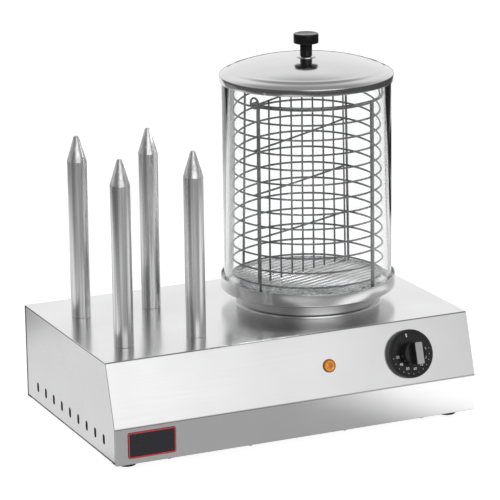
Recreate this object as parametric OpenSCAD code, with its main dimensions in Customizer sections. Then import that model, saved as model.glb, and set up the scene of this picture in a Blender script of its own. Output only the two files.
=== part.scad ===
// Hot-dog steamer: steel base with a boiler, a glass steam cylinder with a wire basket
// and lid, and four heated bun spikes. Millimetres, +Z up, standing on Z = 0, front at -Y.

/* [Casing] */
// Width of the casing
body_w = 455; // [430:1:500]
// Depth of the casing at its foot
body_d = 286; // [276:1:320]
// Height of the casing above its bottom edge
body_h = 114; // [112:1:130]
// Height of the upright strip along the foot of the front
lower_h = 42; // [34:1:48]
// How far the top front edge stands back from the foot
top_inset = 22.6; // [16:0.2:28]
// Sheet thickness of the casing
sheet = 1; // [0.8:0.1:1.2]
// Outside radius of the folds
fold_r = 2.2; // [1.8:0.1:3]
// Gap between the wrap and the end panels
panel_gap = 1.2; // [0.6:0.1:1.2]
// Height of the rubber feet
foot_h = 8; // [6:1:12]
// Radius of a foot where it meets the casing
foot_r = 12.5; // [9:0.5:13]
// Distance of the feet from the middle along the width
foot_x = 204; // [190:1:205]
// Distance of the feet from the middle along the depth
foot_y = 117; // [105:1:118]
// Number of vent slots in each end panel
vent_count = 9; // [5:1:9]
// Spacing of the vent slots
vent_pitch = 26.6; // [22:0.2:27]
// Height of the vent slots
vent_h = 12; // [8:1:14]
// Width of the vent slots
vent_w = 5; // [3:0.5:5]
// Height of the slots' middle above the casing's bottom edge
vent_z = 20.7; // [18:0.1:24]

/* [Boiler and steam pan] */
// Distance of the cylinder's axis from the middle along the width
cyl_x = 88; // [84:1:92]
// Distance of the cylinder's axis from the middle along the depth
cyl_y = 18; // [14:1:19]
// Outside radius of the boiler's neck
neck_r = 85.5; // [84:0.5:86]
// Height of the neck above the top plate
neck_h = 16.2; // [14:0.2:20]
// Depth of the boiler below the top plate
tank_depth = 90; // [70:1:92]
// Outside radius of the steam pan
pan_r = 104.3; // [104:0.1:105]
// Height of the steam pan's rim
pan_h = 15.8; // [14:0.2:18]
// Radius of the perforated steam plate
plate_r = 93.5; // [92.5:0.5:94]
// Radius of the steam holes
steam_hole_r = 2.5; // [1.5:0.25:3.5]

/* [Glass cylinder and lid] */
// Outside radius of the glass
glass_r = 100; // [99.5:0.1:100]
// Wall thickness of the glass
glass_wall = 4; // [3:0.5:4]
// Height of the glass
glass_h = 255; // [250:1:270]
// Outside radius of the lid
lid_r = 102.8; // [101.6:0.1:103]
// Height of the lid's band
lid_band = 8.8; // [8:0.2:10]
// Rise of the lid's dome above its band
lid_rise = 18.4; // [14:0.2:22]
// Radius of the lid knob's disc
knob_r = 14.8; // [12:0.1:16]
// Overall height of the lid knob
knob_h = 26.4; // [22:1:32]

/* [Basket] */
// Radius of the basket's rings, to the middle of the wire
ring_r = 88; // [87:0.5:88.5]
// Number of rings
ring_count = 13; // [9:1:13]
// Spacing of the rings
ring_pitch = 17.5; // [15:0.1:18]
// Radius of the ring wire
wire_r = 1.1; // [0.8:0.1:1.1]
// Radius of three of the posts
post_r = 1.5; // [1.3:0.1:1.6]
// Radius of the stout post at the front right
stout_r = 2.2; // [1.8:0.1:2.3]
// Direction of the dividing grid
grid_turn = 26; // [24:0.5:27]
// How far the grid stands from the basket's middle
grid_off = 7; // [5:0.5:7]
// Number of upright wires in the grid
grid_uprights = 9; // [5:2:9]
// Number of floor rods
rod_count = 17; // [9:2:19]
// Radius of the bail handle's arc
bail_r = 91.5; // [91.2:0.1:92]
// Direction of the bail handle's pivots
bail_turn = 20.5; // [20:0.5:21]

/* [Bun spikes] */
// Radius of a spike
spike_r = 11.5; // [9:0.5:14]
// Height of a spike above the top plate
spike_h = 217; // [160:1:230]
// Height of the cone at its tip
cone_h = 30; // [15:1:40]
// Radius of the blunt tip
tip_r = 2.8; // [1.5:0.1:4]
// Distance of the left-hand spikes from the middle
spike_x1 = 184; // [170:1:190]
// Distance of the right-hand spikes from the middle
spike_x2 = 95; // [90:1:110]
// Distance of the front and rear spikes from the middle
spike_y = 67; // [50:1:80]

/* [Controls] */
// Distance of the thermostat dial from the middle
dial_x = 145.5; // [130:0.5:160]
// Radius of the dial's skirt
dial_r = 28.5; // [22:0.5:30]
// Radius of the dial's hub
hub_r = 14; // [11:0.5:15]
// Distance of the pilot lamp from the middle
lamp_x = 42.5; // [20:0.5:80]
// Radius of the pilot lamp's lens
lamp_r = 7.8; // [6:0.2:10]
// Height of both controls up the sloping face, as a share of it
control_up = 0.475; // [0.45:0.005:0.55]
// Distance of the cable gland from the middle
gland_x = -150; // [-190:1:-110]
// Width of the badge plate
badge_w = 58; // [40:1:60]

/* [Hidden] */
$fn = 64;
gap = 0.4;
lift = 0.02;
hem = 12;
base_z = foot_h + sheet;
top_z = base_z + body_h;
half_w = body_w / 2;
half_d = body_d / 2;
front_y = -half_d;
slope_h = body_h - lower_h;
slope_tilt = atan(top_inset / slope_h);
slope_z = base_z + lower_h + slope_h * control_up;
slope_y = front_y + top_inset * control_up;
neck_top = top_z + neck_h;
tank_z = top_z - tank_depth;
pan_floor = neck_top + sheet;
plate_z = pan_floor + 8.3;
plate_top = plate_z + sheet;
gasket_h = 1.5;
glass_z = pan_floor + gasket_h;
glass_top = glass_z + glass_h;
lid_wall = 1;
lid_rim = glass_top + lid_wall;
apex_z = lid_rim + lid_rise;
washer_h = 1.6;
first_ring = plate_top + 10.4;
last_ring = first_ring + ring_pitch * (ring_count - 1);
bail_z = last_ring + 3.2;
eye_r = 6;
eye_wire = 1.2;
post_turns = [-153.2, -58.3, 30.7, 124.3];
rod_r = 1.9;
rod_z = first_ring - wire_r - rod_r - 0.2;
rod_reach = ring_r - post_r - 0.4;
rod_pitch = 2 * rod_reach / (rod_count + 1);
spike_spots = [[-spike_x1, spike_y], [-spike_x1, -spike_y], [-spike_x2, spike_y], [-spike_x2, -spike_y]];
dial_gap = 1;
skirt_h = 7;
hub_h = 19;
grip_h = 29.4;
spindle_r = 3;
gland_r = 8;
gland_z = base_z + 30;
gland_reach = 21.11;

// ---- helpers ----

function unit(v) = v / norm(v);

// The corner q of an outline, drawn as an arc of radius r between its neighbours p and s.
function fillet(p, q, s, r, n = 5) =
    let (a = unit(p - q), b = unit(s - q), half = acos(a * b) / 2,
         c = q + unit(a + b) * r / sin(half),
         u = q + a * r / tan(half) - c,
         way = a[0] * b[1] - a[1] * b[0] > 0 ? -1 : 1,
         sweep = way * (180 - 2 * half))
    [for (i = [0:n]) let (t = sweep * i / n)
        c + [u[0] * cos(t) - u[1] * sin(t), u[0] * sin(t) + u[1] * cos(t)]];

// The casing's side outline, set in by d: rear foot, rear top, front top, fold, front foot.
function side_corners(d) =
    let (bend = (90 + slope_tilt) / 2, fold = (180 - slope_tilt) / 2)
    [[half_d - d, base_z + d],
     [half_d - d, top_z - d],
     [front_y + top_inset + d / tan(bend), top_z - d],
     [front_y + d, base_z + lower_h - d * tan(90 - fold)],
     [front_y + d, base_z + d]];

function side_outline(d, r) =
    let (k = side_corners(d))
    concat([k[0]], fillet(k[0], k[1], k[2], r), fillet(k[1], k[2], k[3], r),
        fillet(k[2], k[3], k[4], r), [k[4]]);

// Draws a side outline across the casing from x to x + w.
module across(x, w) {
    translate([x, 0, 0]) rotate([90, 0, 90]) linear_extrude(w) children();
}

// The frame of the sloping face: origin at a control's middle, Z straight out of the face.
module on_slope(x) {
    translate([x, slope_y, slope_z]) rotate([90 - slope_tilt, 0, 0]) children();
}

module at_axis(z = 0) {
    translate([cyl_x, cyl_y, z]) children();
}

module ring(r_out, r_in, h) {
    difference() {
        cylinder(r = r_out, h = h, $fn = 128);
        translate([0, 0, -1]) cylinder(r = r_in, h = h + 2, $fn = 128);
    }
}

module hex_nut(flats, h, bore) {
    difference() {
        cylinder(r = flats / 2 / cos(30), h = h, $fn = 6);
        translate([0, 0, -1]) cylinder(r = bore, h = h + 2);
    }
}

// A wire of radius r from p to q.
module rod(p, q, r) {
    v = q - p;
    translate(p) rotate([0, acos(v[2] / norm(v)), atan2(v[1], v[0])]) cylinder(r = r, h = norm(v));
}

// ---- casing ----

module casing_wrap() color([0.82, 0.83, 0.84])
    difference() {
        across(-half_w, body_w) difference() {
            polygon(side_outline(0, fold_r));
            polygon(side_outline(sheet, fold_r - sheet));
            translate([-half_d + hem, base_z - 1]) square([body_d - 2 * hem, sheet + 2]);
        }
        at_axis(top_z - 5) cylinder(r = neck_r + gap, h = 10, $fn = 128);
        for (p = spike_spots) translate([p[0], p[1], top_z - 5]) cylinder(r = 7.4, h = 10);
        on_slope(lamp_x) translate([0, 0, -5]) cylinder(r = lamp_r - 1.6, h = 10);
        on_slope(dial_x) translate([0, 0, -5]) {
            cylinder(r = 5.5, h = 10);
            for (s = [-14, 14]) translate([s, 0, 0]) cylinder(r = 2.2, h = 10);
        }
        translate([gland_x, half_d + 5, gland_z]) rotate([90, 0, 0]) cylinder(r = gland_r + 0.2, h = 10);
        translate([gland_x + 34, half_d + 5, gland_z]) rotate([90, 0, 0]) cylinder(r = 3.2, h = 10);
    }

module end_panel() {
    skin = panel_gap + sheet;
    difference() {
        union() {
            across(-half_w + 0.7, sheet) polygon(side_outline(skin, 0.6));
            across(-half_w + 1.4, hem) difference() {
                polygon(side_outline(sheet + lift, fold_r - sheet));
                polygon(side_outline(skin + 0.4, 0.4));
            }
        }
        for (i = [0:vent_count - 1])
            translate([-half_w - 1, (i - (vent_count - 1) / 2) * vent_pitch, base_z + vent_z])
                rotate([0, 90, 0]) {
                    for (s = [-1, 1]) translate([s * (vent_h - vent_w) / 2, 0, 0])
                        cylinder(r = vent_w / 2, h = 5);
                    translate([-(vent_h - vent_w) / 2, -vent_w / 2, 0])
                        cube([vent_h - vent_w, vent_w, 5]);
                }
    }
}

module left_end_panel() color([0.75, 0.76, 0.77]) end_panel();

module right_end_panel() color([0.75, 0.76, 0.77]) mirror([1, 0, 0]) end_panel();

module bottom_plate() color([0.55, 0.57, 0.58])
    difference() {
        translate([-half_w + 2, -half_d + 1.5, foot_h]) cube([body_w - 4, body_d - 3, sheet]);
        for (x = [-foot_x, foot_x], y = [-foot_y, foot_y])
            translate([x, y, foot_h - 1]) cylinder(r = 2.2, h = 4);
        for (x = [-160, -60, 60, 160], y = [-half_d + 7, half_d - 7])
            translate([x, y, foot_h - 1]) cylinder(r = 1.8, h = 4);
        for (x = [-150, 20], i = [0:5])
            translate([x + i * 12, -35, foot_h - 1]) cube([4, 70, 4]);
    }

module rubber_feet() color([0.06, 0.06, 0.06])
    for (x = [-foot_x, foot_x], y = [-foot_y, foot_y]) translate([x, y, 0])
        difference() {
            cylinder(r1 = foot_r - 1.5, r2 = foot_r, h = foot_h);
            translate([0, 0, -1]) cylinder(r = 4.6, h = foot_h / 2 + 1);
            translate([0, 0, -1]) cylinder(r = 2.2, h = foot_h + 2);
        }

module foot_screws() color([0.7, 0.7, 0.72])
    for (x = [-foot_x, foot_x], y = [-foot_y, foot_y]) translate([x, y, foot_h / 2 - 2.4]) {
        cylinder(r = 4, h = 2.4);
        translate([0, 0, 2.3]) cylinder(r = 2, h = foot_h / 2 + 6);
        translate([0, 0, foot_h / 2 + 2.4 + sheet + lift]) cylinder(r = 4, h = 3.2, $fn = 6);
    }

// Screws that hold the bottom plate to the hems of the wrap.
module panel_screws() color([0.7, 0.7, 0.72])
    for (x = [-160, -60, 60, 160], y = [-half_d + 7, half_d - 7])
        translate([x, y, foot_h - 2 - lift]) {
            cylinder(r1 = 2.4, r2 = 3.2, h = 2);
            translate([0, 0, 1.9]) cylinder(r = 1.5, h = sheet + 0.1);
        }

module badge_plate() color([0.12, 0.12, 0.13])
    translate([-half_w + 15.2 + badge_w / 2, front_y - 0.8 - lift, base_z + lower_h / 2 + 0.4])
        rotate([-90, 0, 0]) linear_extrude(0.8) union() {
            square([badge_w - 5, 30.5], center = true);
            square([badge_w, 25.5], center = true);
            for (x = [-1, 1], y = [-1, 1]) translate([x * (badge_w / 2 - 2.5), y * 12.75]) circle(r = 2.5);
        }

// ---- boiler ----

module boiler_tank() color([0.78, 0.79, 0.8])
    at_axis() rotate_extrude($fn = 128) polygon(concat(
        [[0, tank_z]],
        fillet([0, tank_z], [neck_r, tank_z], [neck_r, neck_top], 8),
        [[neck_r, neck_top], [neck_r - sheet, neck_top]],
        fillet([neck_r - sheet, neck_top], [neck_r - sheet, tank_z + sheet], [0, tank_z + sheet], 7),
        [[0, tank_z + sheet]]));

// Welded flange that hangs the boiler under the top plate.
module tank_flange() color([0.7, 0.71, 0.72])
    at_axis(top_z - sheet - 1.5 - lift) ring(neck_r + 12, neck_r + lift, 1.5);

module neck_trim_ring() color([0.86, 0.87, 0.88])
    at_axis() rotate_extrude($fn = 128)
        polygon([[neck_r + 0.05, top_z + lift], [neck_r + 4, top_z + lift],
            [neck_r + 3.6, top_z + 1.2], [neck_r + 1.4, top_z + 2.4], [neck_r + 0.05, top_z + 2.4]]);

module boiler_heater() color([0.45, 0.43, 0.42])
    at_axis(tank_z - 3.5 - lift) {
        rotate([0, 0, 195]) rotate_extrude(angle = 330) translate([55, 0]) circle(r = 3.4);
        for (t = [165, 195]) rotate([0, 0, t]) translate([55, 0, -3])
            cylinder(r = 2.2, h = 1);
    }

module heater_clamp_plate() color([0.72, 0.73, 0.75])
    at_axis(tank_z - 8.6) ring(70, 24, 1.5);

// Bimetal disc that cuts the heater off if the boiler runs dry.
module thermal_cutout() color([0.3, 0.22, 0.16])
    at_axis(tank_z - 11) {
        cylinder(r = 11.5, h = 11 - lift);
        for (s = [-1, 1]) translate([s * 6 - 0.4, -3, -7]) cube([0.8, 6, 7.1]);
    }

// ---- bun spikes ----

module bun_spike(p) color([0.72, 0.73, 0.74])
    translate([p[0], p[1], 0]) rotate_extrude($fn = 96)
        polygon([[5.2, top_z - 17], [7, top_z - 17], [7, top_z + lift], [spike_r, top_z + lift],
            [spike_r, top_z + spike_h - cone_h], [tip_r, top_z + spike_h - 0.6],
            [tip_r - 0.6, top_z + spike_h], [0, top_z + spike_h], [0, top_z + spike_h - cone_h - 8],
            [5.2, top_z + spike_h - cone_h - 10]]);

module spike_rear_left() bun_spike(spike_spots[0]);

module spike_front_left() bun_spike(spike_spots[1]);

module spike_rear_right() bun_spike(spike_spots[2]);

module spike_front_right() bun_spike(spike_spots[3]);

module spike_heaters() color([0.6, 0.6, 0.6])
    for (p = spike_spots) translate([p[0], p[1], top_z - 19])
        cylinder(r = 5, h = spike_h - cone_h - 4);

module spike_nuts() color([0.68, 0.69, 0.7])
    for (p = spike_spots) translate([p[0], p[1], 0]) {
        translate([0, 0, top_z - sheet - 1.2 - lift]) ring(11.5, 7.15, 1.2);
        translate([0, 0, top_z - sheet - 1.2 - 8 - 2 * lift]) hex_nut(20, 8, 7.15);
    }

// ---- controls ----

module thermostat_body() color([0.85, 0.83, 0.78])
    on_slope(dial_x) difference() {
        union() {
            translate([-19, -17, -sheet - 30 - lift]) cube([38, 34, 30]);
            for (s = [-8, 8]) translate([s - 0.4, -6, -sheet - 38]) cube([0.8, 12, 8.1]);
        }
        translate([0, 0, -16]) cylinder(r = spindle_r + 0.08, h = 20);
        for (s = [-14, 14]) translate([s, 0, -sheet - 8]) cylinder(r = 2.02, h = 10);
    }

module thermostat_screws() color([0.7, 0.7, 0.72])
    on_slope(dial_x) for (s = [-14, 14]) translate([s, 0, 0]) {
        translate([0, 0, -sheet - 6]) cylinder(r = 2, h = sheet + 6.1);
        translate([0, 0, lift]) cylinder(r = 2.9, h = 0.8);
    }

module thermostat_bulb() color([0.75, 0.5, 0.35]) {
    side = cyl_x + neck_r + 3.6;
    z = tank_z + 14;
    rod([side, cyl_y - 34, z], [side, cyl_y + 34, z], 3);
    rod([side, cyl_y - 33, z], [side + 4, cyl_y - 60, z + 6], 1);
    rod([side + 4, cyl_y - 59.4, z + 6], [dial_x + 24, slope_y + 36, slope_z - 12], 1);
}

module pilot_lamp_lens() color([0.95, 0.55, 0.05])
    on_slope(lamp_x) rotate_extrude()
        polygon([[0, lift], [lamp_r, lift], [lamp_r, 1.2], [lamp_r - 0.5, 1.8],
            [lamp_r - 2.2, 2.8], [lamp_r - 4.6, 3.4], [0, 3.6]]);

module pilot_lamp_body() color([0.2, 0.2, 0.2])
    on_slope(lamp_x) {
        translate([0, 0, -24]) cylinder(r = lamp_r - 2, h = 24);
        for (s = [-3, 3]) translate([s - 0.4, -2, -31]) cube([0.8, 4, 7.1]);
    }

module pilot_lamp_nut() color([0.3, 0.3, 0.3])
    on_slope(lamp_x) translate([0, 0, -sheet - 4 - lift]) hex_nut(18, 4, lamp_r - 1.95);

module dial_skirt() color([0.08, 0.08, 0.08])
    on_slope(dial_x) difference() {
        rotate_extrude($fn = 128)
            polygon([[spindle_r + 0.02, dial_gap + 2.4], [dial_r - 2.4, dial_gap + 2.4],
                [dial_r - 2.4, dial_gap], [dial_r, dial_gap], [dial_r, skirt_h - 1.2],
                [dial_r - 1.2, skirt_h], [dial_r - 3.4, skirt_h], [dial_r - 3.8, skirt_h - 0.4],
                [hub_r + 0.3, skirt_h - 0.4], [spindle_r + 0.02, skirt_h - 0.4]]);
        for (t = [0:10:350]) rotate([0, 0, t + 5]) translate([dial_r + 0.6, 0, dial_gap - 1])
            cylinder(r = 1, h = 6, $fn = 12);
    }

module dial_grip() color([0.07, 0.07, 0.07])
    on_slope(dial_x) difference() {
        union() {
            translate([0, 0, skirt_h - 0.4 + lift])
                cylinder(r1 = hub_r, r2 = hub_r - 0.8, h = hub_h - skirt_h + 0.4, $fn = 128);
            translate([-5, -13.1, hub_h - 3]) cube([10, 26.2, grip_h - hub_h + 3 - 0.6]);
        }
        translate([0, 0, 2]) cylinder(r = spindle_r + 0.02, h = 12.02);
    }

module grip_inlay() color([0.78, 0.78, 0.78])
    on_slope(dial_x) translate([-4.5, -12.6, grip_h - 0.6 + lift]) cube([9, 25.2, 0.6]);

module dial_spindle() color([0.75, 0.76, 0.78])
    on_slope(dial_x) translate([0, 0, -14]) cylinder(r = spindle_r, h = 28);

// ---- supply ----

module terminal_block() color([0.9, 0.89, 0.84])
    translate([-190, 84, base_z + lift]) difference() {
        cube([62, 20, 16]);
        for (i = [0:5]) translate([6 + i * 10, 10, 6]) cylinder(r = 2.4, h = 12);
    }

module wiring_loom() color([0.5, 0.12, 0.1]) {
    z = base_z + 8;
    rod([-165, 82, z], [lamp_x - 10, front_y + 46, z + 23], 1.6);
    rod([-155, 82, z], [dial_x - 24, front_y + 43, z + 12], 1.6);
    rod([-145, 82, z], [cyl_x - 76, cyl_y + 18, z + 3], 1.6);
    rod([-175, 82, z], [-spike_x1, -spike_y + 7, z + 80], 1.6);
}

module cable_gland() color([0.1, 0.1, 0.1])
    translate([gland_x, half_d, gland_z]) rotate([-90, 0, 0]) difference() {
        union() {
            translate([0, 0, -12]) cylinder(r = gland_r, h = 13);
            translate([0, 0, lift]) cylinder(r = 10.6, h = 5, $fn = 6);
            translate([0, 0, 5]) cylinder(r1 = 9.6, r2 = 7.4, h = gland_reach - 5);
        }
        translate([0, 0, -13]) cylinder(r = 4, h = 13 + gland_reach + 1);
    }

module gland_locknut() color([0.12, 0.12, 0.12])
    translate([gland_x, half_d - sheet - 5 - lift, gland_z]) rotate([-90, 0, 0])
        hex_nut(22, 5, gland_r + 0.03);

// Bonding stud beside the gland, with a nut on each side of the wall.
module earth_stud() color([0.8, 0.68, 0.35])
    translate([gland_x + 34, half_d, gland_z]) rotate([-90, 0, 0]) {
        translate([0, 0, -10]) cylinder(r = 3, h = 24);
        translate([0, 0, lift]) cylinder(r = 5.8, h = 4, $fn = 6);
        translate([0, 0, -sheet - 4 - lift]) cylinder(r = 5.8, h = 4, $fn = 6);
    }

// ---- steam pan ----

module steam_pan() color([0.8, 0.81, 0.82])
    at_axis() rotate_extrude($fn = 128)
        polygon([[neck_r - 3, neck_top - 8], [neck_r - 2, neck_top - 8],
            [neck_r - 2, neck_top + lift], [pan_r - 1.6, neck_top + lift],
            [pan_r, neck_top + 1.6], [pan_r, neck_top + pan_h - 0.3],
            [pan_r - 0.3, neck_top + pan_h], [pan_r - sheet, neck_top + pan_h],
            [pan_r - sheet, pan_floor + 1], [pan_r - sheet - 1, pan_floor],
            [neck_r - 3, pan_floor]]);

module steam_plate() color([0.76, 0.77, 0.78])
    at_axis() difference() {
        rotate_extrude($fn = 128)
            polygon([[0, plate_z], [plate_r - sheet, plate_z], [plate_r - sheet, pan_floor + lift],
                [plate_r, pan_floor + lift], [plate_r, plate_top - 0.8], [plate_r - 0.8, plate_top],
                [0, plate_top]]);
        for (k = [1:4], t = [0:60 / k:359]) rotate([0, 0, t + 11 * k])
            translate([20 * k, 0, plate_z - 1]) cylinder(r = steam_hole_r, h = 4, $fn = 24);
    }

module glass_gasket() color([0.85, 0.85, 0.83])
    at_axis(pan_floor + lift) ring(101.4, 94.8, gasket_h - 2 * lift);

module glass_cylinder() color([0.8, 0.9, 0.92, 0.35])
    at_axis(glass_z) ring(glass_r, glass_r - glass_wall, glass_h);

// ---- basket ----

// One run of the cage from a post to half way to the next, with half of the post.
module cage_run(post, r, turn) at_axis()
    rotate([0, 0, post]) mirror([0, turn < 0 ? 1 : 0, 0]) {
        edge = atan(0.12 / ring_r);
        for (i = [0:ring_count - 1]) translate([0, 0, first_ring + i * ring_pitch])
            rotate([0, 0, edge]) rotate_extrude(angle = abs(turn) - 2 * edge)
                translate([ring_r, 0]) circle(r = wire_r, $fn = 24);
        translate([0, 0, plate_top + lift]) intersection() {
            translate([ring_r, 0, 0]) cylinder(r = r, h = last_ring + wire_r * 0.7 - plate_top);
            translate([ring_r - 4, lift, -1]) cube([8, 4, 500]);
        }
    }

module basket_cage() color([0.62, 0.63, 0.64])
    for (i = [0:3]) {
        this = post_turns[i];
        before = i == 0 ? post_turns[3] - 360 : post_turns[i - 1];
        after = i == 3 ? post_turns[0] + 360 : post_turns[i + 1];
        cage_run(this, i == 1 ? stout_r : post_r, (after - this) / 2);
        cage_run(this, i == 1 ? stout_r : post_r, (before - this) / 2);
    }

module basket_divider() color([0.6, 0.61, 0.62])
    at_axis() rotate([0, 0, grid_turn]) {
        low = rod_z + rod_r + 0.3;
        for (i = [0:grid_uprights - 1])
            translate([164 / (grid_uprights - 1) * i - 82, grid_off, low])
                cylinder(r = wire_r, h = last_ring + wire_r / 2 - low, $fn = 24);
        for (i = [ring_count - 1:-3:1])
            translate([-ring_r + 2.5, grid_off + 1.7, first_ring + i * ring_pitch])
                rotate([0, 90, 0]) cylinder(r = wire_r, h = 2 * ring_r - 5, $fn = 24);
    }

module basket_floor_rack() color([0.6, 0.61, 0.62])
    at_axis() rotate([0, 0, grid_turn]) {
        for (i = [0:rod_count - 1]) {
            y = (i - (rod_count - 1) / 2) * rod_pitch;
            reach = sqrt(rod_reach * rod_reach - y * y);
            translate([-reach, y, rod_z]) rotate([0, 90, 0])
                cylinder(r = rod_r, h = 2 * reach, $fn = 24);
        }
        for (x = [-30, 30]) {
            reach = sqrt(rod_reach * rod_reach - x * x);
            translate([x, -reach, rod_z - rod_r - 1.2]) rotate([-90, 0, 0])
                cylinder(r = 1.5, h = 2 * reach, $fn = 24);
        }
    }

// Loops welded inside the top ring, in which the bail's ends turn.
module bail_eyes() color([0.62, 0.63, 0.64])
    at_axis(bail_z) for (t = [bail_turn, bail_turn + 180]) rotate([0, 0, t])
        translate([ring_r - wire_r - eye_wire - 0.1, 0, 0]) rotate([0, 90, 0])
            rotate_extrude() translate([eye_r, 0]) circle(r = eye_wire, $fn = 24);

module basket_bail() color([0.58, 0.59, 0.6])
    at_axis(bail_z) rotate([0, 0, bail_turn]) {
        rotate([0, 0, -181]) rotate_extrude(angle = 182, $fn = 128)
            translate([bail_r, 0]) circle(r = 1.5, $fn = 24);
        for (s = [0, 180]) rotate([0, 0, s]) translate([81, 0, 0]) rotate([0, 90, 0])
            cylinder(r = 1.35, h = bail_r + 0.9 - 81, $fn = 24);
    }

// ---- lid ----

function dome(r) = lid_rise * (1 - pow(r / lid_r, 3));
dome_steps = [86, 80, 74, 68, 60, 52, 44, 34, 24, 12];

module lid_shell() color([0.84, 0.85, 0.86])
    at_axis() rotate_extrude($fn = 160) polygon(concat(
        [[2.7, lid_rim + lid_rise - lid_wall], [2.7, lid_rim + lid_rise]],
        [for (i = [len(dome_steps) - 1:-1:0]) [dome_steps[i], lid_rim + dome(dome_steps[i])]],
        [[90.6, lid_rim + 6.3], [92.2, lid_rim + 4.2], [96, lid_rim + 3.3],
         [lid_r - 1.8, lid_rim + 1.2], [lid_r - 0.4, lid_rim + 0.3], [lid_r, lid_rim - 0.6],
         [lid_r, lid_rim - lid_band], [lid_r - lid_wall, lid_rim - lid_band],
         [lid_r - lid_wall, lid_rim - lid_wall + lift], [96, lid_rim - lid_wall + lift],
         [94, lid_rim + 2.4], [91.4, lid_rim + 3.2], [89.8, lid_rim + 5.3]],
        [for (r = dome_steps) [r, lid_rim + dome(r) - lid_wall]]));

module knob_washer() color([0.8, 0.81, 0.82])
    at_axis(apex_z + lift) rotate_extrude()
        polygon([[2.7, 0], [11.4, 0], [11.4, 0.5], [8.4, washer_h], [2.7, washer_h]]);

module lid_knob() color([0.07, 0.07, 0.07])
    at_axis(apex_z + washer_h + 2 * lift) rotate_extrude()
        polygon([[2.6, 0], [6.8, 0], [7.3, 1.2], [7.3, 8], [7.5, knob_h - 13], [8.6, knob_h - 11.9],
            [knob_r - 0.9, knob_h - 11.5], [knob_r, knob_h - 10.6], [knob_r, knob_h - 1.2],
            [knob_r - 1.2, knob_h], [0, knob_h], [0, 14], [2.6, 14]]);

module knob_screw() color([0.75, 0.76, 0.77])
    at_axis(apex_z - lid_wall - 3.4 - lift) {
        cylinder(r = 4.8, h = 3.4, $fn = 6);
        translate([0, 0, 3.3]) cylinder(r = 2.5, h = lid_wall + washer_h + 12);
    }

casing_wrap();
left_end_panel();
right_end_panel();
bottom_plate();
rubber_feet();
foot_screws();
panel_screws();
boiler_tank();
tank_flange();
neck_trim_ring();
boiler_heater();
heater_clamp_plate();
thermal_cutout();
spike_rear_left();
spike_front_left();
spike_rear_right();
spike_front_right();
spike_heaters();
spike_nuts();
thermostat_body();
thermostat_screws();
thermostat_bulb();
pilot_lamp_lens();
pilot_lamp_body();
pilot_lamp_nut();
terminal_block();
wiring_loom();
cable_gland();
gland_locknut();
earth_stud();
badge_plate();
steam_pan();
steam_plate();
glass_gasket();
glass_cylinder();
basket_cage();
basket_divider();
basket_floor_rack();
bail_eyes();
basket_bail();
lid_shell();
lid_knob();
knob_washer();
knob_screw();
dial_skirt();
dial_grip();
grip_inlay();
dial_spindle();
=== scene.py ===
"""Hot-dog steamer with bun spikes: the looks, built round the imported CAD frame. Metres, +Z up, front at -Y."""

import math

import bmesh
import bpy
from mathutils import Matrix, Vector


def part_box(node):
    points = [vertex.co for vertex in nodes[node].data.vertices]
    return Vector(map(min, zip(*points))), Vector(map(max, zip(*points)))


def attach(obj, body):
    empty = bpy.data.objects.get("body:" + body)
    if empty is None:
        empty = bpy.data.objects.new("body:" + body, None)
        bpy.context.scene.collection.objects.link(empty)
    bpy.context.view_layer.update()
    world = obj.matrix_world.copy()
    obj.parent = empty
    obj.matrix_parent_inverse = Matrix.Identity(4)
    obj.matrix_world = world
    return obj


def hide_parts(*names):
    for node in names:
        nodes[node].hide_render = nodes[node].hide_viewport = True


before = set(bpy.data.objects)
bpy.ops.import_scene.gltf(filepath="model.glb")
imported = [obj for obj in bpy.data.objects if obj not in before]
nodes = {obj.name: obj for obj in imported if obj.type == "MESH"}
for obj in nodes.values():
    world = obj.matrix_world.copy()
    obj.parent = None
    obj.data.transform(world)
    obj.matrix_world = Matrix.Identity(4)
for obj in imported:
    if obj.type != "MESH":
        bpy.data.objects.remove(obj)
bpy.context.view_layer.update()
MM = 0.001

# ---------------------------------------------------------------- sizes

# Sizes that the frame doesn't give directly, as in the part's own source
SHEET = 1.0 * MM
TOP_INSET = 22.6 * MM
LOWER_H = 42.0 * MM
FOLD_R = 2.2 * MM
PANEL_GAP = 1.2 * MM
HEM = 12.0 * MM
VENT_COUNT = 9
VENT_PITCH = 26.6 * MM
VENT_H = 12.0 * MM
VENT_W = 6.6 * MM
VENT_UP = 20.7 * MM
RING_R = 88.0 * MM
RING_COUNT = 13
RING_PITCH = 17.5 * MM
WIRE_R = 1.1 * MM
POSTS = ((-153.2, 1.5 * MM), (-58.3, 2.2 * MM), (30.7, 1.5 * MM), (124.3, 1.5 * MM))
POST_OUT = 1.0 * MM
GRID_TURN = 26.0
GRID_OFF = 7.0 * MM
BAIL_TURN = 20.5
GRID_COUNT = 9
GRID_PITCH = 20.5 * MM
ROD_COUNT = 17
ROD_R = 1.9 * MM
TIE_X = 30 * MM
TIE_R = 1.5 * MM
FOOT_R = 12.5 * MM
SPIKE_HOLE_R = 7.4 * MM
LAMP_HOLE_R = 6.2 * MM
DIAL_HOLE_R = 5.5 * MM
GLAND_HOLE_R = 8.2 * MM
GLASS_WALL = 4 * MM
SPIKES = ("rear_left", "front_left", "rear_right", "front_right")


def middle(node):
    low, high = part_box(node)
    return (low + high) / 2


def radius_of(node):
    low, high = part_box(node)
    return (high.x - low.x) / 2


def heights(node):
    return [corner.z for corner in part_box(node)]


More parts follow.
